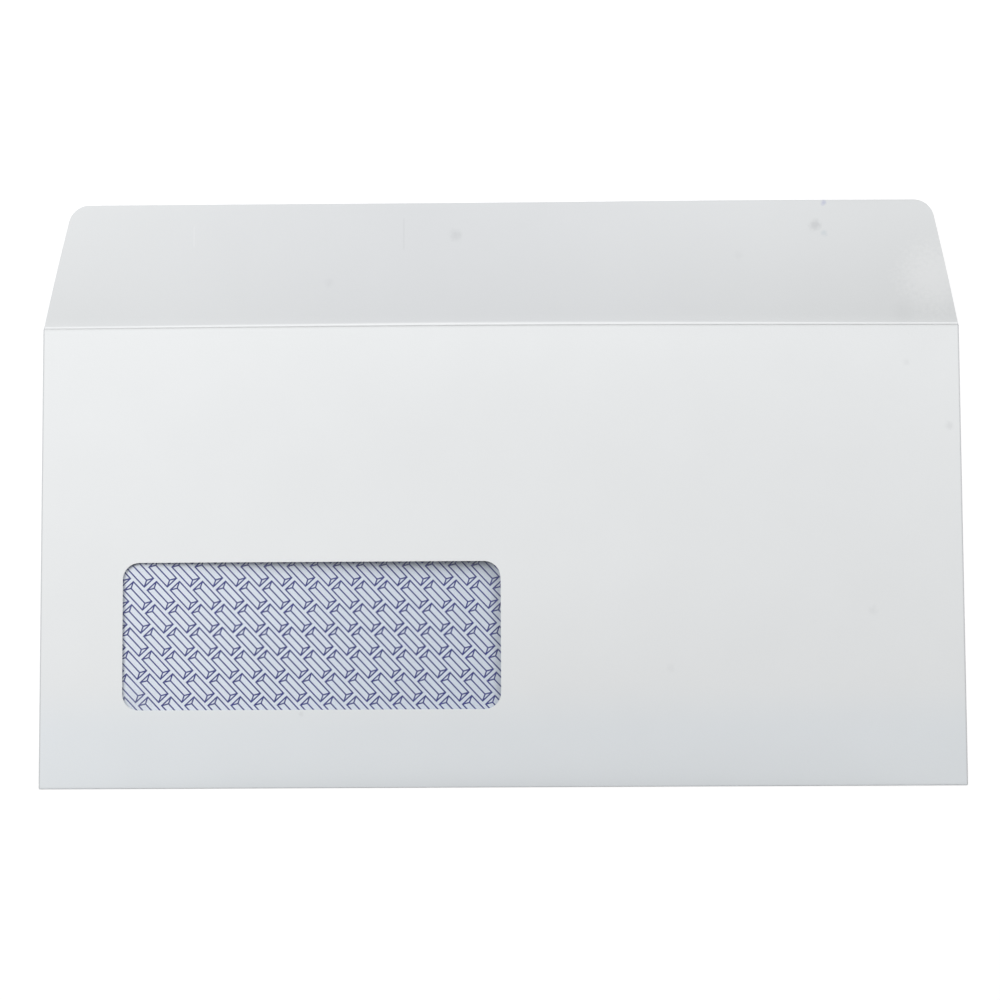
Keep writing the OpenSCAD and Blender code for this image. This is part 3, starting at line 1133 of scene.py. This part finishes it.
@dataclass(frozen=True)
class InnerPaper:
    """The inner side of the sheet: white paper with the printed tint, and a gummed band on the flap."""

    colour: Colour = (229, 235, 243)
    shaded: Colour = (213, 221, 231)
    shade_run: tuple[float, float] = (-95.0, 5.0)
    ink: Colour = (40, 45, 121)
    gum: Colour = (226, 226, 216)
    gum_band: tuple[float, float] = (10.0, 27.0)
    gum_soft: float = 0.5
    unprinted: float = 1.5
    grain: float = 0.03
    roughness: float = 0.62
    specular: float = 0.2
    gum_roughness: float = 0.3
    tooth: float = 0.012

    def make(self, effects: Effects, sizes: EnvelopeSizes) -> bpy.types.Material:
        """Builds the material.

        Args:
            effects: The shared node groups.
            sizes: Sizes of the envelope, for where the flap begins.

        Returns:
            The material.
        """
        material, board, shader = new_material("inner_paper")
        blank = blank_point(board)
        tooth = board.group(effects.tooth, {"Point": blank})
        parts = board.add("ShaderNodeSeparateXYZ", {"Vector": blank}).outputs
        crease = sizes.crease / MM
        darker = board.ease(parts["X"], *self.shade_run)
        paper = board.blend(darker, linear(self.colour), linear(self.shaded))
        printed = board.maths("LESS_THAN", parts["Y"], crease - self.unprinted)
        ink = board.maths("MULTIPLY", board.group(effects.tint, {"Blank": blank})["Ink"], printed)
        start, end = (crease + depth for depth in self.gum_band)
        reach = {"Value": parts["Y"], "From": start, "To": end, "Soft": self.gum_soft}
        gummed = board.group(effects.band, reach)["Mask"]
        colour = toned(board, board.blend(gummed, paper, linear(self.gum)), tooth["Tone"], self.grain)
        glossier = self.gum_roughness - self.roughness
        board.feed_all(shader, {
            "Base Color": board.blend(ink, colour, linear(self.ink)),
            "Roughness": board.maths("MULTIPLY_ADD", gummed, glossier, self.roughness),
            "Specular IOR Level": self.specular,
            "Normal": relief(board, tooth["Height"], self.tooth),
        })
        return material


@dataclass(frozen=True)
class ClearFilm:
    """The window's film: clear and glossy, with a faint white veil that is partly its own haziness and partly
    a painted reflection, a painted sheen that thickens at grazing angles, and a painted sheen spot in one
    corner.
    """

    colour: Colour = (232, 238, 248)
    grain: float = 0.05
    # A faint white veil over the film, partly its own haziness and partly a painted reflection of its face.
    haze_and_sheen: float = 0.044
    haze_grain: float = 0.03
    # Painted sheen: the white veil thickens at grazing angles, standing in for the film's reflection.
    glare: float = 0.8
    glare_power: float = 4.0
    # A painted sheen: a whiter spot in the film's lower left corner.
    blotch: Mark = Mark(-88.0, -35.0, 7.0, 0.06)
    roughness: float = 0.07
    roughness_grain: float = 0.04
    specular: float = 0.6

    def make(self, effects: Effects) -> bpy.types.Material:
        """Builds the material from the shared node groups."""
        material, board, shader = new_material("clear_film")
        point = object_point(board)
        tooth = board.group(effects.tooth, {"Point": point})
        slant = board.add("ShaderNodeLayerWeight", {"Blend": 0.5}).outputs["Facing"]
        graze = board.maths("POWER", slant, self.glare_power)
        haze_and_sheen = board.maths("MULTIPLY_ADD", tooth["Tone"], self.haze_grain, self.haze_and_sheen)
        # Adds the painted sheen spot in the lower left corner.
        haze_and_sheen = board.maths("ADD", self.blotch.mask(board, effects, point), haze_and_sheen)
        board.feed_all(shader, {
            "Base Color": toned(board, linear(self.colour), tooth["Tone"], self.grain),
            "Alpha": board.maths("MULTIPLY_ADD", graze, self.glare, haze_and_sheen),
            "Roughness": board.maths("MULTIPLY_ADD", tooth["Height"], self.roughness_grain, self.roughness),
            "Specular IOR Level": self.specular,
        })
        return material


@dataclass(frozen=True)
class PrintingInk:
    """The tint's lines: thin matt ink that the paper has partly drunk in."""

    colour: Colour = (37, 42, 119)
    pale: Colour = (58, 62, 149)
    worn_heights: tuple[float, float] = (0.75, 0.95)
    roughness: float = 0.7
    worn_roughness: float = 0.1
    specular: float = 0.1

    def make(self, effects: Effects) -> bpy.types.Material:
        """Builds the material from the shared node groups."""
        material, board, shader = new_material("printing_ink")
        tooth = board.group(effects.tooth, {"Point": object_point(board)})
        worn = board.ease(tooth["Height"], *self.worn_heights)
        board.feed_all(shader, {
            "Base Color": board.blend(worn, linear(self.colour), linear(self.pale)),
            "Roughness": board.maths("MULTIPLY_ADD", worn, self.worn_roughness, self.roughness),
            "Specular IOR Level": self.specular,
        })
        return material


@dataclass
class TintPrint:
    """The printed lines on the back panel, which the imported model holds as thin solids."""

    node: bpy.types.Object

    def dress(self, finish: bpy.types.Material) -> None:
        """Gives the printed lines their ink."""
        self.node.data.materials.clear()
        self.node.data.materials.append(finish)
        log.info("%s: %d faces", self.node.name, len(self.node.data.polygons))


@dataclass(frozen=True)
class SoftLamp:
    """A square soft lamp, aimed at the middle of the envelope."""

    name: str
    place: tuple[float, float, float]
    side: float
    watts: float

    def hang(self) -> None:
        """Hangs the lamp."""
        light = bpy.data.lights.new(self.name, "AREA")
        light.shape = "SQUARE"
        light.size = self.side
        light.energy = self.watts
        lamp = bpy.data.objects.new(self.name, light)
        bpy.context.scene.collection.objects.link(lamp)
        lamp.location = self.place
        lamp.rotation_mode = "QUATERNION"
        lamp.rotation_quaternion = (-Vector(self.place)).to_track_quat("-Z", "Y")


@dataclass(frozen=True)
class Studio:
    """A pale table under two soft lamps, and the camera that looks down on the envelope."""

    lamps: tuple[SoftLamp, ...] = (
        SoftLamp("left_lamp", (-0.396, 0.181, 0.584), 0.4, 3.55),
        SoftLamp("right_lamp", (0.344, 0.444, 0.524), 0.45, 3.78),
    )
    fill: float = 0.047
    backdrop: float = 0.95
    table_side: float = 8.0
    table_drop: float = 0.02 * MM
    table_colour: Colour = (140, 140, 141)
    table_noise: Noise = Noise(0.02, 2.0)
    table_grain: float = 0.01
    table_roughness: float = 0.9
    table_specular: float = 0.1
    table_glow: float = 0.82
    table_bounce: float = 0.4
    camera_distance: float = 0.48
    camera_tilt: float = math.radians(3.873)
    camera_roll: float = math.radians(-0.276)
    camera_yaw: float = math.radians(0.234)
    camera_target: tuple[float, float, float] = (-0.363 * MM, 13.173 * MM, 0.0)
    pixels_per_mm: float = 4.1814
    picture: int = 1000
    film_width: float = 36.0
    clip: tuple[float, float] = (0.01, 20.0)

    def build(self) -> None:
        """Sets up the table, the light and the camera."""
        bpy.context.scene.view_settings.view_transform = "Standard"
        self.lay_table()
        for lamp in self.lamps:
            lamp.hang()
        self.fill_room()
        self.set_camera()

    def lay_table(self) -> None:
        """Lays the pale table, whose glow is stronger to the camera than to the paper's edges."""
        clear_selection()
        bpy.ops.mesh.primitive_plane_add(size=self.table_side, location=(0, 0, -self.table_drop))
        table = bpy.context.object
        table.name = "table"
        material, board, shader = new_material("pale_table")
        tone = board.maths("SUBTRACT", self.table_noise.at(board, object_point(board)), 0.5)
        seen = board.add("ShaderNodeLightPath").outputs["Is Camera Ray"]
        extra = self.table_glow - self.table_bounce
        board.feed_all(shader, {
            "Base Color": toned(board, linear(self.table_colour), tone, self.table_grain),
            "Roughness": self.table_roughness,
            "Specular IOR Level": self.table_specular,
            "Emission Color": WHITE,
            "Emission Strength": board.maths("MULTIPLY_ADD", seen, extra, self.table_bounce),
        })
        table.data.materials.append(material)

    def fill_room(self) -> None:
        """Fills the room with faint even light and gives it a pale backdrop."""
        world = bpy.data.worlds.new("room")
        world.use_nodes = True
        bpy.context.scene.world = world
        board = NodeBoard(world.node_tree)
        board.tree.nodes.clear()
        fill = board.add("ShaderNodeBackground", {"Color": WHITE, "Strength": self.fill})
        seen = board.add("ShaderNodeBackground", {"Color": WHITE, "Strength": self.backdrop})
        mix = board.add("ShaderNodeMixShader")
        board.feed(mix.inputs[0], board.add("ShaderNodeLightPath").outputs["Is Camera Ray"])
        board.feed(mix.inputs[1], fill.outputs["Background"])
        board.feed(mix.inputs[2], seen.outputs["Background"])
        board.add("ShaderNodeOutputWorld", {"Surface": mix.outputs["Shader"]})

    def set_camera(self) -> None:
        """Sets the camera nearly straight above the envelope, leaning a little towards its bottom fold."""
        yaw = Matrix.Rotation(self.camera_yaw, 3, "Y")
        back = yaw @ Vector((0, -math.sin(self.camera_tilt), math.cos(self.camera_tilt)))
        level = yaw @ Vector((1, 0, 0))
        upright = back.cross(level)
        right = math.cos(self.camera_roll) * level + math.sin(self.camera_roll) * upright
        up = math.cos(self.camera_roll) * upright - math.sin(self.camera_roll) * level
        data = bpy.data.cameras.new("camera")
        data.sensor_width = self.film_width
        data.lens = self.film_width * self.pixels_per_mm * self.camera_distance / MM / self.picture
        camera = bpy.data.objects.new("camera", data)
        bpy.context.scene.collection.objects.link(camera)
        turned = Matrix((right, up, back)).transposed().to_4x4()
        place = Vector(self.camera_target) + self.camera_distance * back
        camera.matrix_world = Matrix.Translation(place) @ turned
        data.clip_start, data.clip_end = self.clip
        bpy.context.scene.camera = camera


def main() -> None:
    """Builds the envelope's pieces in order, and the studio round them."""
    logging.basicConfig(level=logging.INFO, format="%(name)s: %(message)s")
    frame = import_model()
    low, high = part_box("folded_sheet")
    sizes = EnvelopeSizes(width=high.x - low.x, bottom=low.y)
    effects = Effects(TintSizes(), sizes)
    sheet = FoldedSheet(sizes)
    sheet.build(OuterPaper().make(effects, sizes), InnerPaper().make(effects, sizes))
    WindowFilm(sheet).build(ClearFilm().make(effects))
    TintPrint(frame["nodes"]["tint_print"]).dress(PrintingInk().make(effects))
    Studio().build()


if __name__ == "__main__":
    main()
